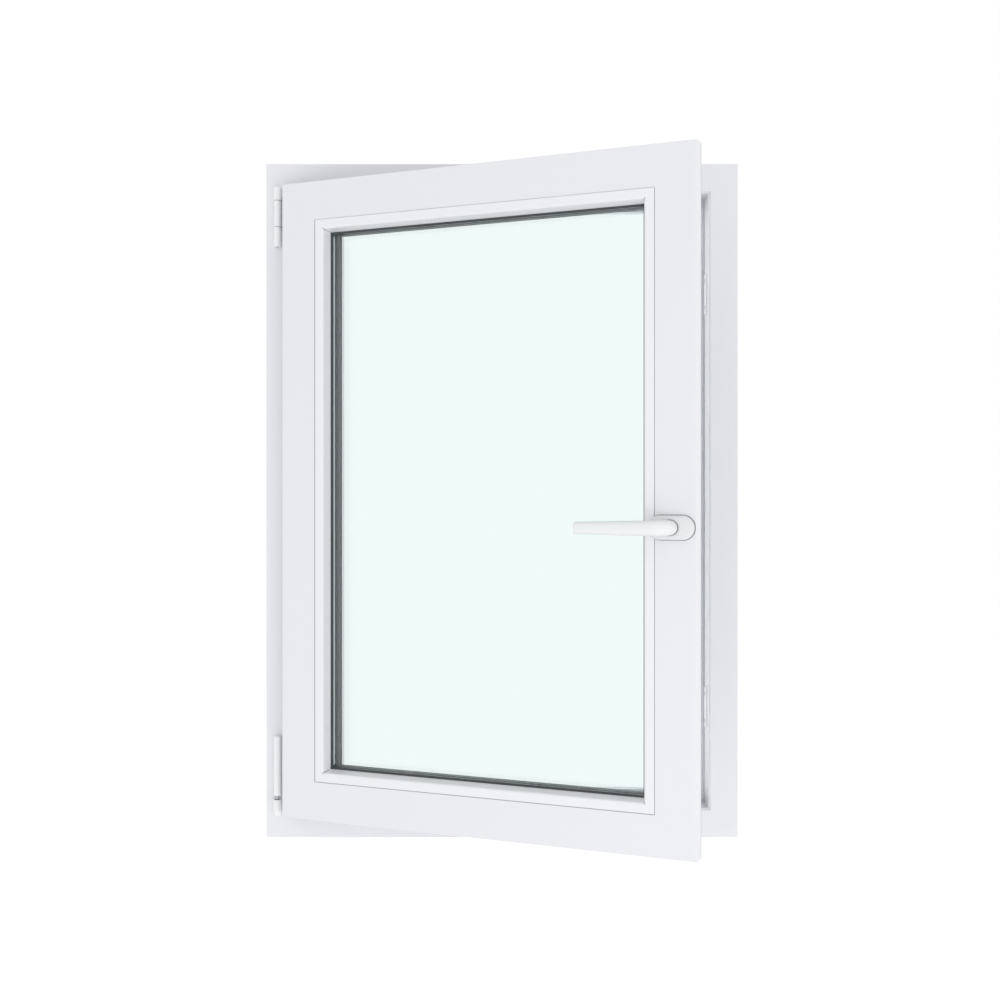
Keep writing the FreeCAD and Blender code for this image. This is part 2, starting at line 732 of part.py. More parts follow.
# Pivot rest and corner hinge: the rest is a round cup on the frame, a bush turns in it,
# and a ball pin under the sash's hinge sleeve stands in the bush, where the sash tilts.
def make_corner_hinge():
    rest_top = size("rest_base") + size("rest_long")
    bush_low = size("rest_base") + size("rest_floor")
    rest = new_body("pivot_rest")
    shell = new_sketch(rest, "XY_Plane", offset=size("rest_base"))
    add_circle(shell, 0, 0, size("rest_radius"))
    pad(rest, shell, size("rest_long"))
    bevel_edges(rest, size("rest_edge"), level_edge(size("rest_base")))
    box(rest, -size("rest_radius"), 0, 0, frame_face_local,
        size("rest_base") + size("rest_radius"), rest_top)
    bore = new_sketch(rest, "XY_Plane", offset=rest_top)
    add_circle(bore, 0, 0, size("bush_radius") + size("running_gap"))
    pocket(rest, bore, rest_top - bush_low)
    place_on_frame_pin(rest)
    bush = new_body("pivot_bush")
    ball_low = size("ball_height") - size("ball_radius") - size("ball_gap")
    cup = size("ball_radius") + size("ball_gap")
    revolve(bush, [(0, bush_low + size("running_gap")),
                   (size("bush_radius"), bush_low + size("running_gap")),
                   (size("bush_radius"), rest_top), (size("mouth_radius"), rest_top),
                   (cup, size("ball_height") + size("ball_radius")), (cup, ball_low),
                   (0, ball_low)])
    on_pin(bush)
    hinge_top = size("corner_hinge_base") + size("corner_hinge_long")
    body_wall = sash_left + size("flange_reach")
    core_radius = size("knuckle_radius") - size("cover_wall")
    hinge = new_body("corner_hinge")
    core = new_sketch(hinge, "XY_Plane", offset=size("corner_hinge_base"))
    add_circle(core, 0, 0, core_radius)
    pad(hinge, core, size("corner_hinge_long") - size("cover_wall"))
    box(hinge, 0, body_wall, flange_back, flange_back + size("hinge_plate_thick"),
        size("corner_hinge_base") + size("cover_wall"), hinge_top - size("cover_wall"))
    box(hinge, body_wall - size("hinge_plate_thick"), body_wall, flange_back,
        flange_back + size("hinge_plate_deep"),
        size("corner_hinge_base") + size("cover_wall"), hinge_top - size("cover_wall"))
    on_pin(hinge)
    cover = new_body("corner_hinge_cover")
    skin = new_sketch(cover, "XY_Plane", offset=size("corner_hinge_base"))
    add_circle(skin, 0, 0, size("knuckle_radius"))
    pad(cover, skin, size("corner_hinge_long"))
    bevel_edges(cover, size("cover_edge"), level_edge(hinge_top))
    hollow = new_sketch(cover, "XY_Plane", offset=hinge_top - size("cover_wall"))
    add_circle(hollow, 0, 0, core_radius)
    pocket(cover, hollow, size("corner_hinge_long") - size("cover_wall"))
    mouth = new_sketch(cover, "XZ_Plane", offset=-(flange_back + size("hinge_plate_thick")))
    add_box_outline(mouth, 0, size("knuckle_radius") * 2,
                    size("corner_hinge_base") - OVERSHOOT, hinge_top - size("cover_wall"))
    pocket(cover, mouth, size("hinge_plate_thick"), backwards=True)
    on_pin(cover)
    pin = new_body("corner_ball_pin")
    shank = new_sketch(pin, "XY_Plane", offset=size("ball_height"))
    add_circle(shank, 0, 0, size("ball_pin_radius"))
    pad(pin, shank, size("corner_hinge_base") - size("ball_height"))
    ball = pin.newObject("PartDesign::AdditiveSphere", "ball")
    ball.setExpression("Radius", "Sizes.ball_radius")
    ball.setExpression("Placement.Base.z", "Sizes.ball_height")
    on_pin(pin)


# Handle: a rosette screwed to the sash, a square spindle and an L-shaped lever.
def make_handle():
    spindle_x = sash_left + sash_width - size("handle_backset")
    spindle_z = sash_low + sash_height / 2 - size("handle_drop")
    rosette_front = sash_front - size("rosette_thick")
    half_high = size("rosette_high") / 2
    half_long = size("rosette_long") / 2 - half_high
    rosette = new_body("handle_rosette")
    for sign in (1, -1):
        disc = new_sketch(rosette, "XZ_Plane", offset=-sash_front)
        add_circle(disc, spindle_x + half_long * sign, spindle_z, half_high)
        pad(rosette, disc, size("rosette_thick"))
        if sign == 1:
            box(rosette, spindle_x - half_long, spindle_x + half_long, rosette_front, sash_front,
                spindle_z - half_high, spindle_z + half_high)
    bevel_edges(rosette, size("rosette_edge"), facing_edge(rosette_front))
    hole = new_sketch(rosette, "XZ_Plane", offset=-rosette_front)
    add_circle(hole, spindle_x, spindle_z,
               size("spindle_width") * HALF_DIAGONAL + size("spindle_gap"))
    pocket(rosette, hole, size("rosette_thick"))
    relief = new_sketch(rosette, "XZ_Plane", offset=-sash_front)
    bead_line = sash_left + sash_width - size("sash_face")
    add_box_outline(relief, spindle_x - size("rosette_long"), bead_line + size("bead_gap"),
                    spindle_z - size("rosette_high"), spindle_z + size("rosette_high"))
    pocket(rosette, relief, size("bead_proud") + size("bead_gap"), backwards=True)
    on_pin(rosette)
    lever_front = sash_front - size("lever_standoff")
    lever_base = rosette_front - size("spindle_gap")
    lever = new_body("handle_lever")
    boss = new_sketch(lever, "XZ_Plane", offset=-lever_base)
    add_circle(boss, spindle_x, spindle_z, size("boss_radius"))
    pad(lever, boss, lever_base - lever_front)
    round_edges(lever, size("boss_edge"), facing_edge(lever_front))
    grip_y = lever_front + size("lever_thick") / 2
    sections = []
    for reach, thick, high in ((0, size("lever_thick"), size("lever_high")),
                               (size("lever_reach"), size("lever_tip_thick"),
                                size("lever_tip_high"))):
        section = new_sketch(lever, "YZ_Plane", offset=spindle_x - reach)
        add_ellipse(section, grip_y, spindle_z, thick / 2, high / 2)
        sections.append(section)
    grip = lever.newObject("PartDesign::AdditiveLoft", "grip")
    grip.Profile = sections[0]
    grip.Sections = [sections[1]]
    doc.recompute()
    on_pin(lever)
    spindle = new_body("handle_spindle")
    half = size("spindle_width") / 2
    box(spindle, spindle_x - half, spindle_x + half, lever_base,
        sash_front + size("spindle_deep"), spindle_z - half, spindle_z + half)
    on_pin(spindle)


make_frame()
make_sash()
make_glazing()
make_beads()
make_packers()
make_stay_bearing()
make_stay_arm()
make_locking()
make_corner_hinge()
make_handle()
doc.recompute()

os.makedirs("parts", exist_ok=True)
for item in doc.Objects:
    if "Invalid" in item.State or "Error" in item.State:
        raise RuntimeError(f"{item.Label} did not compute: {item.State}")
bodies = [item for item in doc.Objects if item.TypeId == "PartDesign::Body"]
for body in bodies:
    if body.Shape.isNull() or not body.Shape.isValid():
        raise RuntimeError(f"{body.Label} has no valid shape")
for body in bodies:
    body.Shape.exportStep(f"parts/{body.Label}.step")
print(len(bodies), "sub-parts written")
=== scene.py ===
import bmesh
import bpy
import numpy as np
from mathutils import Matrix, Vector


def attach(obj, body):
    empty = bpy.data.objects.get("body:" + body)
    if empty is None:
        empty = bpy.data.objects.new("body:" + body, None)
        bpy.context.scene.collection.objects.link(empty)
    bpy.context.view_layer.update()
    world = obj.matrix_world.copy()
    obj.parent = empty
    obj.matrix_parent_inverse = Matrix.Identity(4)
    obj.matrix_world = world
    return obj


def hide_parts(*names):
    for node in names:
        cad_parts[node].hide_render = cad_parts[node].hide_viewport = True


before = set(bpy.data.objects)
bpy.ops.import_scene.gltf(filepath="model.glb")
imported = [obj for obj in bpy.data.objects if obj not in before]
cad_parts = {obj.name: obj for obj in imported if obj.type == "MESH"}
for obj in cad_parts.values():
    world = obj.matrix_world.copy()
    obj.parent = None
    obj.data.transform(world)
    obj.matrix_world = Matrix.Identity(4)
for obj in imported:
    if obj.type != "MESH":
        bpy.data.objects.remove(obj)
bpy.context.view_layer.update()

# Camera
# The picture was taken square on to the frame from two metres away, level with its middle,
# with a normal 50 mm lens, so the sash that stands open towards the eye looks taller.
scene = bpy.context.scene
camera_data = bpy.data.cameras.new("camera")
camera_data.lens = 50
camera_data.sensor_width = 36
camera = bpy.data.objects.new("camera", camera_data)
camera.location = (-0.0031, -2.097, 0.5011)
camera.rotation_euler = (np.pi / 2, 0, 0)
scene.collection.objects.link(camera)
scene.camera = camera
scene.view_settings.view_transform = "Standard"


def linear(colour):
    """The linear colour of an sRGB hex colour such as "FFFFFF"."""
    values = np.array([int(colour[at:at + 2], 16) for at in (0, 2, 4)]) / 255
    low = values / 12.92
    high = ((values + 0.055) / 1.055) ** 2.4
    return (*np.where(values <= 0.04045, low, high), 1)


def node(tree, kind, inputs=None, **settings):
    """One shader node, with its settings, and its inputs set to a value or linked to a socket."""
    made = tree.nodes.new(kind)
    for name, value in settings.items():
        setattr(made, name, value)
    for name, value in (inputs or {}).items():
        if isinstance(value, bpy.types.NodeSocket):
            tree.links.new(value, made.inputs[name])
        else:
            made.inputs[name].default_value = value
    return made


def sees_background(tree, *kinds):
    """A value of 1 for the kinds of ray that are to see the plain background, or else 0."""
    rays = node(tree, "ShaderNodeLightPath")
    value = rays.outputs[f"Is {kinds[0]} Ray"]
    for kind in kinds[1:]:
        value = node(tree, "ShaderNodeMath", {0: value, 1: rays.outputs[f"Is {kind} Ray"]},
                     operation="MAXIMUM").outputs[0]
    return value


# Studio
# A plain white studio. The camera, the glass and the metal see full white in it, and the
# plastic gets a softer light, stronger from below than from above as in the picture.
world = bpy.data.worlds.new("studio")
scene.world = world
world.use_nodes = True
tree = world.node_tree
tree.nodes.clear()
white = node(tree, "ShaderNodeBackground", {"Color": linear("FFFFFF"), "Strength": 1})
soft = node(tree, "ShaderNodeBackground", {"Color": linear("FFFFFF"), "Strength": 0.82})
mixed = node(tree, "ShaderNodeMixShader", {0: sees_background(tree, "Camera", "Transmission", "Glossy"),
                                           1: soft.outputs[0], 2: white.outputs[0]})
node(tree, "ShaderNodeOutputWorld", {"Surface": mixed.outputs[0]})


def area_light(name, place, target, width, height, watts, spread=180):
    """A soft light panel at a place, turned to face a target, whose grid narrows its beam."""
    data = bpy.data.lights.new(name, "AREA")
    data.shape = "RECTANGLE"
    data.size = width
    data.size_y = height
    data.energy = watts
    data.spread = np.radians(spread)
    lamp = bpy.data.objects.new(name, data)
    lamp.location = place
    lamp.rotation_euler = (Vector(target) - Vector(place)).to_track_quat("-Z", "Y").to_euler()
    lamp.visible_glossy = False
    lamp.visible_camera = False
    lamp.visible_transmission = False
    scene.collection.objects.link(lamp)


area_light("panel_low_right", (1.6, -2.6, -0.6), (0, 0, 0.5), 1.4, 1.0, 10.5)
area_light("panel_low_front", (0.2, -3.0, -0.3), (0.1, 0, 0.5), 0.6, 0.8, 6)
area_light("panel_outdoors", (-2.2, 1.4, -0.3), (0.3, 0, 0.5), 1.4, 1.4, 6)
area_light("strip_in_reveal", (-0.6, 0.36, 0.5), (0.307, -0.01, 0.5), 0.04, 1.1, 0.5, 38)

# Floor
# White studio paper under the window, which hangs in its wall well above it. The camera sees
# the paper as white where nothing shades it, and the glass sees it at plain white.
floor_mesh = bpy.data.meshes.new("floor")
floor_mesh.from_pydata([(-8, -8, -0.9), (8, -8, -0.9), (8, 8, -0.9), (-8, 8, -0.9)], [],
                       [(0, 1, 2, 3)])
floor = bpy.data.objects.new("floor", floor_mesh)
scene.collection.objects.link(floor)
paper = bpy.data.materials.new("white studio paper")
paper.use_nodes = True
tree = paper.node_tree
tree.nodes.clear()
matt = node(tree, "ShaderNodeBsdfDiffuse", {"Color": linear("F4F4F4")})
glow = node(tree, "ShaderNodeEmission", {"Color": linear("FFFFFF"), "Strength": 0.14})
lit = node(tree, "ShaderNodeAddShader", {0: matt.outputs[0], 1: glow.outputs[0]})
backdrop = node(tree, "ShaderNodeEmission", {"Color": linear("FFFFFF"), "Strength": 1})
through = node(tree, "ShaderNodeMixShader", {0: sees_background(tree, "Transmission", "Glossy"),
                                             1: lit.outputs[0], 2: backdrop.outputs[0]})
bright = node(tree, "ShaderNodeEmission", {"Color": linear("FFFFFF"), "Strength": 1.22})
shaded = node(tree, "ShaderNodeMixShader", {0: 0.25, 1: bright.outputs[0], 2: matt.outputs[0]})
both = node(tree, "ShaderNodeMixShader", {0: sees_background(tree, "Camera"),
                                          1: through.outputs[0], 2: shaded.outputs[0]})
node(tree, "ShaderNodeOutputMaterial", {"Surface": both.outputs[0]})
floor_mesh.materials.append(paper)


# White PVC-U profiles
# Frame bars, sash bars and glazing beads are extruded from white PVC-U and welded or cut at
# 45 degrees, so faint draw lines run along each bar over a satin surface.
def finish(name, colours, roughness, pattern_mm, bump_mm, stretch=(1, 1, 1), turn=0.0, **inputs):
    """A material whose colour, gloss and height all follow one fine noise.

    colours are the two ends of the colour's drift, roughness its two ends, pattern_mm the
    size of one patch and bump_mm its height. stretch shortens the pattern along X, Y and Z
    of the object, and turn is the angle about Z at which its axes stand.
    """
    made = bpy.data.materials.new(name)
    made.use_nodes = True
    tree = made.node_tree
    tree.nodes.clear()
    place = node(tree, "ShaderNodeTexCoord")
    mapping = node(tree, "ShaderNodeMapping", {"Vector": place.outputs["Object"], "Scale": stretch,
                                               "Rotation": (0, 0, turn)})
    noise = node(tree, "ShaderNodeTexNoise", {"Vector": mapping.outputs[0], "Detail": 2,
                                              "Scale": 1000 / pattern_mm})
    tint = node(tree, "ShaderNodeMix", {0: noise.outputs[0], 6: linear(colours[0]),
                                        7: linear(colours[1])}, data_type="RGBA")
    gloss = node(tree, "ShaderNodeMapRange", {"Value": noise.outputs[0], "To Min": roughness[0],
                                              "To Max": roughness[1]})
    wave = node(tree, "ShaderNodeBump", {"Height": noise.outputs[0], "Strength": 1,
                                         "Distance": bump_mm / 1000})
    named = {key.replace("_", " "): value for key, value in inputs.items()}
    shader = node(tree, "ShaderNodeBsdfPrincipled", {"Base Color": tint.outputs[2],
                                                     "Roughness": gloss.outputs[0],
                                                     "Normal": wave.outputs[0], **named})
    node(tree, "ShaderNodeOutputMaterial", {"Surface": shader.outputs[0]})
    return made


def give(material, *names):
    """Puts one material on CAD nodes."""
    for name in names:
        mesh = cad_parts[name].data
        mesh.materials.clear()
        mesh.materials.append(material)


OPEN = np.radians(24.25)
WHITE = ("EFF0F4", "EDEEF2")
DRAWN = 0.02
upright = finish("extruded PVC-U, upright", WHITE, (0.17, 0.22), 1.2, 0.002, (1, 1, DRAWN), OPEN)
level = finish("extruded PVC-U, level", WHITE, (0.17, 0.22), 1.2, 0.002, (DRAWN, 1, 1), OPEN)
give(upright, "frame_hinge_jamb", "frame_lock_jamb", "sash_hinge_stile", "sash_lock_stile")
give(level, "frame_sill", "frame_head", "sash_bottom_rail", "sash_top_rail")

# The beads come from another batch of plastic, a shade lighter than the bars.
LIGHTER = ("F3F4F7", "F1F2F5")
upright = finish("bead PVC-U, upright", LIGHTER, (0.15, 0.2), 1.2, 0.002, (1, 1, DRAWN), OPEN)
level = finish("bead PVC-U, level", LIGHTER, (0.15, 0.2), 1.2, 0.002, (DRAWN, 1, 1), OPEN)
give(upright, "glazing_bead_hinge", "glazing_bead_lock")
give(level, "glazing_bead_bottom", "glazing_bead_top")

# Bead joints
# The beads are clipped in beside the sash bars and meet each other at 45 degrees, which
# leaves a hairline joint all round and one down the slope of each corner. The grey ribbons
# in these joints are painted shade: they stand for the shade inside the open joints.
PIN = np.array((-0.3325, -0.041, 0))
SASH_LOW = np.array((0.020, 0.0375))
SASH_HIGH = np.array((0.645, 0.9625))
BEAD_LINE = 0.0565
BEAD_FRONT = -0.0193


def on_sash(points):
    """Points of the sash's own frame at the hinge pin, turned to the open sash's place."""
    x, y, z = np.moveaxis(points, -1, 0)
    turned = (x * np.cos(OPEN) + y * np.sin(OPEN), y * np.cos(OPEN) - x * np.sin(OPEN), z)
    return np.stack(turned, -1) + PIN


def carried_round(section, low, high):
    """A grid of one section's points at the four mitred corners of an upright rectangle.

    Each point of the section is (inset, depth): it lies inset inside the rectangle's edge, on
    both sides of a corner alike, and at Y = depth.
    """
    inset, depth = np.array(section).T
    x = np.stack((low[0] + inset, high[0] - inset, high[0] - inset, low[0] + inset))
    z = np.stack((low[1] + inset, low[1] + inset, high[1] - inset, high[1] - inset))
    return np.stack((x, np.broadcast_to(depth, x.shape), z), -1)


def add_piece(name, grids, material, slot, body, *stands_for, closed=False):
    """A piece from grids of points, whose rows go along it and whose columns go round it.

    A closed grid's last row joins its first one, and an open one gets a flat face at each end.
    """
    points, faces, count = [], [], 0
    for grid in grids:
        rows, columns = grid.shape[:2]
        index = np.arange(count, count + rows * columns).reshape(rows, columns)
        after = np.roll(index, -1, axis=0)
        if not closed:
            faces += [index[0][::-1].tolist(), index[-1].tolist()]
            index, after = index[:-1], after[:-1]
        quads = np.stack((index, np.roll(index, -1, axis=1), np.roll(after, -1, axis=1), after), -1)
        faces += quads.reshape(-1, 4).tolist()
        points.append(grid.reshape(-1, 3))
        count += rows * columns
    mesh = bpy.data.meshes.new(name)
    mesh.from_pydata(np.concatenate(points).tolist(), [], faces)
    shape = bmesh.new()
    shape.from_mesh(mesh)
    bmesh.ops.recalc_face_normals(shape, faces=shape.faces)
    shape.to_mesh(mesh)
    shape.free()
    mesh.polygons.foreach_set("use_smooth", [True] * len(mesh.polygons))
    mesh.set_sharp_from_angle(angle=np.radians(35))
    mesh.materials.append(material)
    made = bpy.data.objects.new(name, mesh)
    scene.collection.objects.link(made)
    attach(made, body)
    if stands_for:
        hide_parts(*stands_for)
    return made


# The ribbons' grey is painted shade, the shade that falls inside the open joints.
joint = finish("shade in an open joint", ("8C8E92", "86888C"), (0.8, 0.9), 2, 0.001)
# The ribbon is drawn wider at the hinge side and below, where that painted shade is darker.
outer_low, outer_high = SASH_LOW - (0.0013, 0.0009), SASH_HIGH + 0.00015
outer_edge = carried_round([(BEAD_LINE, -0.0181), (BEAD_LINE, -0.0170)], outer_low, outer_high)
inner_edge = carried_round([(BEAD_LINE, -0.0170), (BEAD_LINE, -0.0181)], SASH_LOW + 0.00015,
                           SASH_HIGH - 0.00015)
grid = np.concatenate((outer_edge, inner_edge), axis=1)
add_piece("bead_joint_painted_shade", [on_sash(grid)], joint, "white_pvc", "sash", closed=True)

# Down the slope the painted shade of the joint is a thin ribbon on the mitre, from the flat's end to the glass.
slope = np.array([(0.0690, -0.01926), (0.0697, -0.0190), (0.0703, -0.0182), (0.0708, -0.0168),
                  (0.0735, -0.0035)])
grids = []
for across, up in ((1, 1), (1, -1), (-1, 1), (-1, -1)):
    corner = np.where((across, up) == np.array((1, 1)), SASH_LOW, SASH_HIGH)
    middle = np.stack((corner[0] + across * slope[:, 0], slope[:, 1],
                       corner[1] + up * slope[:, 0]), -1)
    side = np.array((across, 0, -up)) * 0.00022 / np.sqrt(2)
    lift = np.array((across, -1, up)) * 0.00008
    grids.append(on_sash(np.stack((middle - side + lift, middle + side + lift,
                                   middle + side - lift * 3, middle - side - lift * 3), 1)))
add_piece("bead_mitre_painted_shade", grids, joint, "white_pvc", "sash")

# Gaskets
# Strips of rubber pressed into grooves: black ones with a soft lip on both sides of the
# glass, and pale grey ones on the frame's stop and under the sash's flange.
rubber = finish("black EPDM rubber", ("45484B", "3E4144"), (0.55, 0.65), 0.7, 0.004)
pale_rubber = finish("pale grey TPE rubber", ("C9CBCE", "C4C6C9"), (0.5, 0.6), 0.7, 0.003)
give(pale_rubber, "overlap_gasket")
GLASS_FRONT = 0.0015
GLASS_BACK = 0.0255


def rounded_lip(start, end, base, height, count=9):
    """A section whose top is a half ellipse from start to end over a base, height away."""
    turn = np.linspace(0, np.pi, count)
    inset = (start + end) / 2 - (end - start) / 2 * np.cos(turn)
    return [(start, base)] + list(zip(inset, base + height * np.sin(turn))) + [(end, base)]


section = [(0.0650, -0.0033), (0.0738, -0.0033), (0.0756, -0.0028), (0.0763, -0.0021),
           (0.0764, -0.0012), (0.0757, 0.0004), (0.0740, 0.0014), (0.0650, 0.0014)]
add_piece("inner_gasket_lip", [on_sash(carried_round(section, SASH_LOW, SASH_HIGH))], rubber,
          "black_gasket", "sash", "inner_glazing_gasket", closed=True)
section = [(0.0650, 0.0256), (0.0716, 0.0256), (0.0719, 0.0262), (0.0718, 0.0285),
           (0.0714, 0.0293), (0.0650, 0.0294)]
add_piece("outer_gasket_lip", [on_sash(carried_round(section, SASH_LOW, SASH_HIGH))], rubber,
          "black_gasket", "sash", "outer_glazing_gasket", closed=True)

# The stop's gasket is a flat foot with a hollow bulb that the sash's outer leg closes on.
STOP_FACE = 0.015
section = rounded_lip(0.0545, 0.0612, STOP_FACE - 0.0012, -0.0031)
section = [(0.0529, STOP_FACE), (0.0529, STOP_FACE - 0.0012)] + section
section += [(0.0617, STOP_FACE - 0.0012), (0.0617, STOP_FACE)]
add_piece("stop_gasket_bulb", [carried_round(section, (-0.35, 0), (0.35, 1))], pale_rubber,
          "black_gasket", "frame", "frame_stop_gasket", closed=True)

# Glazing unit
# Two panes of clear float glass with a grey plastic spacer between them, whose flanks have a
# bright steel foil, and black sealant behind it. The unit stands on blue moulded packers.
glass = bpy.data.materials.new("clear float glass")
glass.use_nodes = True
tree = glass.node_tree
tree.nodes.clear()
place = node(tree, "ShaderNodeTexCoord")
rolled = node(tree, "ShaderNodeTexNoise", {"Vector": place.outputs["Object"], "Scale": 4, "Detail": 0})
wave = node(tree, "ShaderNodeBump", {"Height": rolled.outputs[0], "Strength": 1, "Distance": 0.00002})
shader = node(tree, "ShaderNodeBsdfPrincipled",
              {"Base Color": (0.933, 0.978, 0.973, 1), "Roughness": 0, "IOR": 1.5,
               "Transmission Weight": 1, "Normal": wave.outputs[0]})
node(tree, "ShaderNodeOutputMaterial", {"Surface": shader.outputs[0]})
give(glass, "inner_pane", "outer_pane")
sealant = finish("black butyl sealant", ("2C2C2E", "262628"), (0.6, 0.8), 3, 0.03)
give(sealant, "edge_seal")
packer = finish("blue moulded polypropylene", ("7A99C8", "7594C3"), (0.45, 0.55), 1.5, 0.01)
give(packer, "glazing_packers")
spacer = finish("grey spacer plastic", ("6E7577", "676E70"), (0.4, 0.5), 1, 0.003)
cavity_front, cavity_back, spacer_out, spacer_in = 0.0055, 0.0215, 0.0680, 0.0750
foil_thick, groove, shoulder = 0.0003, 0.0004, 0.0013
section = [(spacer_out, cavity_front + foil_thick), (spacer_in - shoulder, cavity_front + foil_thick),
           (spacer_in, cavity_front + foil_thick + shoulder), (spacer_in, 0.0118),
           (spacer_in - groove, 0.0122), (spacer_in - groove, 0.0148), (spacer_in, 0.0152),
           (spacer_in, cavity_back - foil_thick - shoulder),
           (spacer_in - shoulder, cavity_back - foil_thick), (spacer_out, cavity_back - foil_thick)]
add_piece("spacer_profile", [on_sash(carried_round(section, SASH_LOW, SASH_HIGH))], spacer,
          "grey_spacer", "sash", "spacer_bar", closed=True)
foil = finish("bright steel foil", ("D8DADC", "D0D2D4"), (0.25, 0.35), 2, 0.002, Metallic=1)
grids = []
for pane, inwards in ((cavity_front, 1), (cavity_back, -1)):
    near, far = pane + inwards * 0.00002, pane + inwards * (foil_thick - 0.00005)
    section = [(spacer_out, near), (spacer_in - shoulder, near),
               (spacer_in + 0.0001, near + inwards * (shoulder + 0.0001)),
               (spacer_in + 0.0001, far + inwards * (shoulder + 0.0001)),
               (spacer_in - shoulder, far), (spacer_out, far)]
    grids.append(on_sash(carried_round(section, SASH_LOW, SASH_HIGH)))
add_piece("spacer_foil", grids, foil, "grey_spacer", "sash", closed=True)

# Steel fittings
# The stay arm, rails, cams and pins are punched or turned steel, zinc plated to a soft shine.
steel = finish("zinc-plated steel", ("C4C6C8", "BBBDC0"), (0.24, 0.36), 4, 0.002, Metallic=1)
give(steel, "stay_arm", "stay_bearing_pin", "pivot_bush", "corner_hinge", "corner_ball_pin",
     "lock_faceplate", "locking_cams", "stay_rail", "stay_slide_pin", "handle_spindle")

# White fittings
# Hinge bearings, strikers and the handle are cast or stamped and have a white powder coat,
# a little glossier than the plastic, with a soft orange-peel surface.
coat = finish("white powder coat", ("F1F2F4", "EFF0F2"), (0.27, 0.33), 1.4, 0.004)
give(coat, "lock_strikers")
# The hinge parts get a lighter copy of the coat: painted light, lifting the shade that the open sash casts on
# their knuckles.
hinge_coat_painted_light = finish("white powder coat, hinges", ("F9FAFB", "F7F8F9"), (0.27, 0.33), 1.4, 0.004)
give(hinge_coat_painted_light, "stay_bearing", "pivot_rest", "corner_hinge_cover")


def soften(name, width):
    """Merges a CAD node's triangles as it is drawn and rounds its sharp edges by a width."""
    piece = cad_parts[name]
    weld = piece.modifiers.new("merged", "WELD")
    weld.merge_threshold = 0.00001
    edge = piece.modifiers.new("softened edges", "BEVEL")
    edge.width = width
    edge.segments = 2
    edge.limit_method = "ANGLE"
    edge.angle_limit = np.radians(40)
    edge.harden_normals = False


for name in ("lock_strikers", "lock_faceplate", "stay_arm", "stay_rail",
             "corner_hinge_cover", "pivot_rest"):
    soften(name, 0.0003)

# Arm knuckle sleeve
# A white cap is pushed over the steel knuckle of the stay arm, between the two white ones
# of its bearing.
KNUCKLE_LOW, KNUCKLE_HIGH, KNUCKLE_EDGE = 0.90505, 0.94395, 0.0006


def turned_about(centre, profile):
    """A grid of (radius, height) rows turned about an upright axis."""
    radius, height = np.array(profile).T[:, :, None]
    angle = np.linspace(0, 2 * np.pi, 48, endpoint=False)[None, :]
    x = centre[0] + radius * np.cos(angle)
    y = centre[1] + radius * np.sin(angle)
    return np.stack((x, y, np.broadcast_to(height, x.shape)), -1)


quarter = np.linspace(0, np.pi / 2, 6)
radius = 0.00508 - KNUCKLE_EDGE * (1 - np.sin(quarter))
rise = KNUCKLE_EDGE * (1 - np.cos(quarter))
profile = list(zip(radius, KNUCKLE_LOW + rise)) + list(zip(radius, KNUCKLE_HIGH - rise))[::-1]
add_piece("arm_knuckle_sleeve", [turned_about(PIN, profile)], hinge_coat_painted_light, "white_metal", "stay")

# Handle lever
# A cast aluminium lever in one piece: a round neck on the rosette bends into a flat grip that
# tapers to the tip. It is powder coated white, and a set screw under the neck holds it.
SPINDLE = np.array((0.612, -0.018, 0.4655))


def lever_section(angle, half_across, half_up, power):
    """A superellipse: |a / half_across|^power + |b / half_up|^power = 1, at each angle."""
    across = np.sign(np.cos(angle)) * np.abs(np.cos(angle)) ** (2 / power) * half_across
    up = np.sign(np.sin(angle)) * np.abs(np.sin(angle)) ** (2 / power) * half_up
    return across, up


# The path runs from the rosette towards the room, bends by a quarter circle and runs on to
# the tip. Each row of the grid is a superellipse square to the path at one distance along it.
base, straight, bend, tip, tip_edge = 0.0273, 0.0135, 0.017, 0.1025, 0.0020
length = straight + bend * np.pi / 2 + tip
along = np.concatenate((np.linspace(0, 0.0018, 3), np.linspace(0.0019, 0.0028, 6),
                        np.linspace(0.0036, length - tip_edge - 0.0001, 90),
                        length - tip_edge + tip_edge * np.sin(np.linspace(0, np.pi / 2, 7))))
turned = np.clip((along - straight) / bend, 0, np.pi / 2)
past = np.clip(along - straight - bend * np.pi / 2, 0, None)
path_x = SPINDLE[0] - bend * (1 - np.cos(turned)) - past
path_y = -base - np.clip(along, 0, straight) - bend * np.sin(turned)
stations = np.array((0, 0.0018, 0.0020, 0.0028, 0.012, 0.030, 0.046, 0.075, length))
thick_at = (8.8, 8.8, 10.4, 10.9, 10.9, 8.8, 7.6, 6.5, 5.4)
high_at = (8.6, 8.6, 9.5, 9.8, 9.9, 9.9, 9.8, 9.3, 7.9)
half_thick = np.interp(along, stations, np.array(thick_at) / 1000)
half_high = np.interp(along, stations, np.array(high_at) / 1000)
power = np.interp(along, stations, (2, 2, 2, 2, 2, 2.1, 2.1, 2.2, 2.2))
drop = np.interp(along, stations, (0, 0, 0, 0, 0, 0.0002, 0.0004, 0.0005, 0.0005))
rounding = np.clip((along - length + tip_edge) / tip_edge, 0, 1)
shrink = tip_edge * (1 - np.sqrt(1 - rounding ** 2))
angle = np.linspace(0, 2 * np.pi, 72, endpoint=False)[None, :]
across, up = lever_section(angle, (half_thick - shrink)[:, None], (half_high - shrink)[:, None],
                           power[:, None])
grid = np.stack((path_x[:, None] + across * np.cos(turned)[:, None],
                 path_y[:, None] - across * np.sin(turned)[:, None],
                 SPINDLE[2] - drop[:, None] + up), -1)
add_piece("lever_grip", [on_sash(grid)], coat, "white_metal", "handle", "handle_lever")
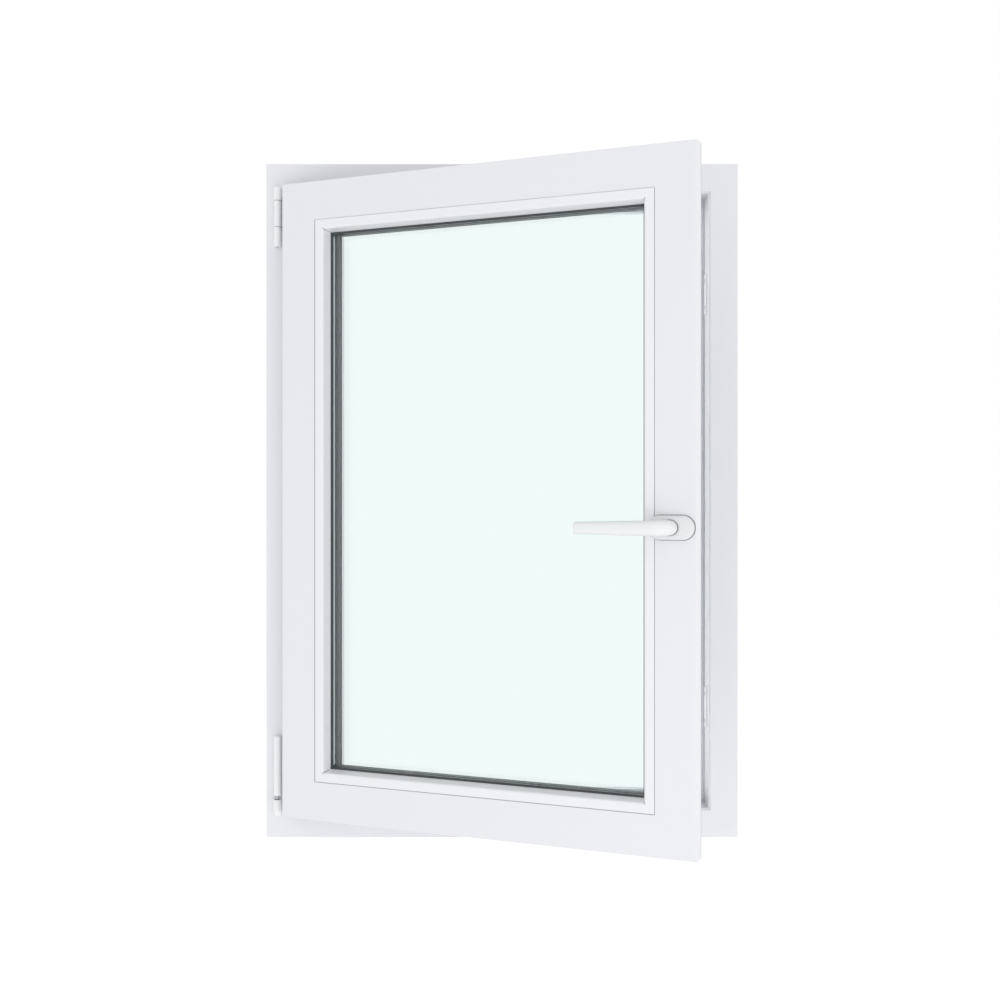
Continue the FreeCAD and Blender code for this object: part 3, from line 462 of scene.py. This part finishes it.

# A grey plastic ring, on which the neck turns, lies round its foot. Its grey is painted shade: the contact
# shadow round the neck's foot, drawn as a dark line.
seal_painted_shade = finish("grey seal plastic", ("9B9D9F", "949698"), (0.5, 0.6), 1, 0.003)
angle = angle[0]
ring = [np.stack((SPINDLE[0] + (0.0109 + wide) * np.cos(angle), np.full(angle.shape, -deep),
                  SPINDLE[2] + (0.0098 + wide) * np.sin(angle)), -1)
        for wide, deep in ((0.0002, 0.0268), (0.0009, 0.0271), (0.0009, 0.0277), (0.0006, 0.0280),
                           (-0.0008, 0.0281))]
add_piece("neck_ring_painted_shade", [on_sash(np.stack(ring))], seal_painted_shade, "grey_spacer", "handle")

# Rosette
# A long oval cap, die cast and powder coated, snaps over the screwed base of the handle.
# Its outline is a straight run with a half circle at each end. The rows step in from the
# outline while they rise: a wall, a sloping rim and a flat.
half_long, half_high = 0.0153, 0.0162
half_turn = np.linspace(-np.pi / 2, np.pi / 2, 33)


def long_oval(inset, rise):
    """A grid of long ovals, each lying inset inside the rosette's outline and rise above the sash."""
    angle = np.concatenate((half_turn, half_turn + np.pi))[None, :]
    shift = np.repeat((half_long, -half_long), len(half_turn))[None, :]
    radius = (half_high - np.array(inset) / 1000)[:, None]
    height = np.broadcast_to(np.array(rise)[:, None] / 1000, (len(rise), angle.size))
    return np.stack((SPINDLE[0] + shift + radius * np.cos(angle), SPINDLE[1] - height,
                     SPINDLE[2] + radius * np.sin(angle)), -1)


# The cap's coat is a shade darker than the lever's: painted shade, for the shade that the lever and its neck
# cast on the cap.
cast_coat_painted_shade = finish("white powder coat, die casting", ("EAEBED", "E7E8EA"), (0.3, 0.36), 1.4, 0.004)
cap = long_oval((1.1, 1.1, 0.7, 0.5, 0.5, 0.8, 1.3, 3.0, 3.5, 4.1),
                (0.7, 1.0, 1.1, 1.4, 5.4, 6.2, 6.8, 8.3, 8.7, 8.9))
add_piece("rosette_cap", [on_sash(cap)], cast_coat_painted_shade, "white_metal", "sash", "handle_rosette")

# Rosette plate and its painted shade
# A thin grey plastic plate lies between the rosette and the sash. Its grey is painted shade:
# the contact shadow round the rosette, drawn as a dark outline.
plate = long_oval((-0.3, -0.5, -0.5, -0.3), (0.05, 0.15, 0.6, 0.7))
add_piece("rosette_seal_painted_shade", [on_sash(plate)], seal_painted_shade, "grey_spacer", "sash")

# Screws
# Countersunk steel screws with a cross recess hold the faceplate, the rail, the corner hinge
# and the strikers. Their heads lie nearly flush.
HEAD_RADIUS, HEAD_DOME, RECESS_DEEP, RECESS_LONG, RECESS_WIDE = 0.0033, 0.0003, 0.0009, 0.0019, 0.0005


def screw_head(place, out, along):
    """A grid of a screw's head about a place, facing out, with one arm of its cross along.

    Its height is a low dome, dome * (1 - (r / R)^2), less a cross whose two arms are smooth
    steps of the distance from its two middle lines.
    """
    place, out, along = np.array(place), np.array(out, dtype=float), np.array(along, dtype=float)
    third = np.cross(out, along)
    radius = np.concatenate((np.linspace(0.0001, HEAD_RADIUS, 22), [HEAD_RADIUS]))[:, None]
    angle = np.linspace(0, 2 * np.pi, 64, endpoint=False)[None, :]
    a, b = radius * np.cos(angle), radius * np.sin(angle)
    arm_a = np.clip((RECESS_WIDE - np.abs(b)) / 0.0002, 0, 1) * np.clip((RECESS_LONG - np.abs(a)) / 0.0003, 0, 1)
    arm_b = np.clip((RECESS_WIDE - np.abs(a)) / 0.0002, 0, 1) * np.clip((RECESS_LONG - np.abs(b)) / 0.0003, 0, 1)
    height = HEAD_DOME * (1 - (radius / HEAD_RADIUS) ** 2) - RECESS_DEEP * np.maximum(arm_a, arm_b) + 0.0001
    height[-1] = -0.0004
    return (place + a[..., None] * along + b[..., None] * third + height[..., None] * out)


screw_steel = finish("blue-passivated steel", ("C9CCD2", "BFC3CA"), (0.2, 0.3), 1.5, 0.001, Metallic=1)
groove_middle, side_wall, top_wall = 0.017, 0.625, 0.9425
heads = [screw_head((side_wall, groove_middle, height), (1, 0, 0), (0, 0, 1))
         for height in (0.10, 0.30, 0.43, 0.57, 0.70, 0.90)]
heads += [screw_head((across, groove_middle, top_wall), (0, 0, 1), (1, 0, 0))
          for across in (0.45, 0.585)]
heads += [screw_head((0.0365, 0.0145, height), (-1, 0, 0), (0, 0, 1))
          for height in (0.080, 0.108, 0.136)]
add_piece("sash_screws", [on_sash(head) for head in heads], screw_steel, "plated_steel", "sash")
heads = [screw_head((0.305, -0.010, middle + away), (-1, 0, 0), (0, 0, 1))
         for middle in (0.19, 0.81) for away in (-0.02, 0.02)]
add_piece("striker_screws", heads, screw_steel, "plated_steel", "frame")
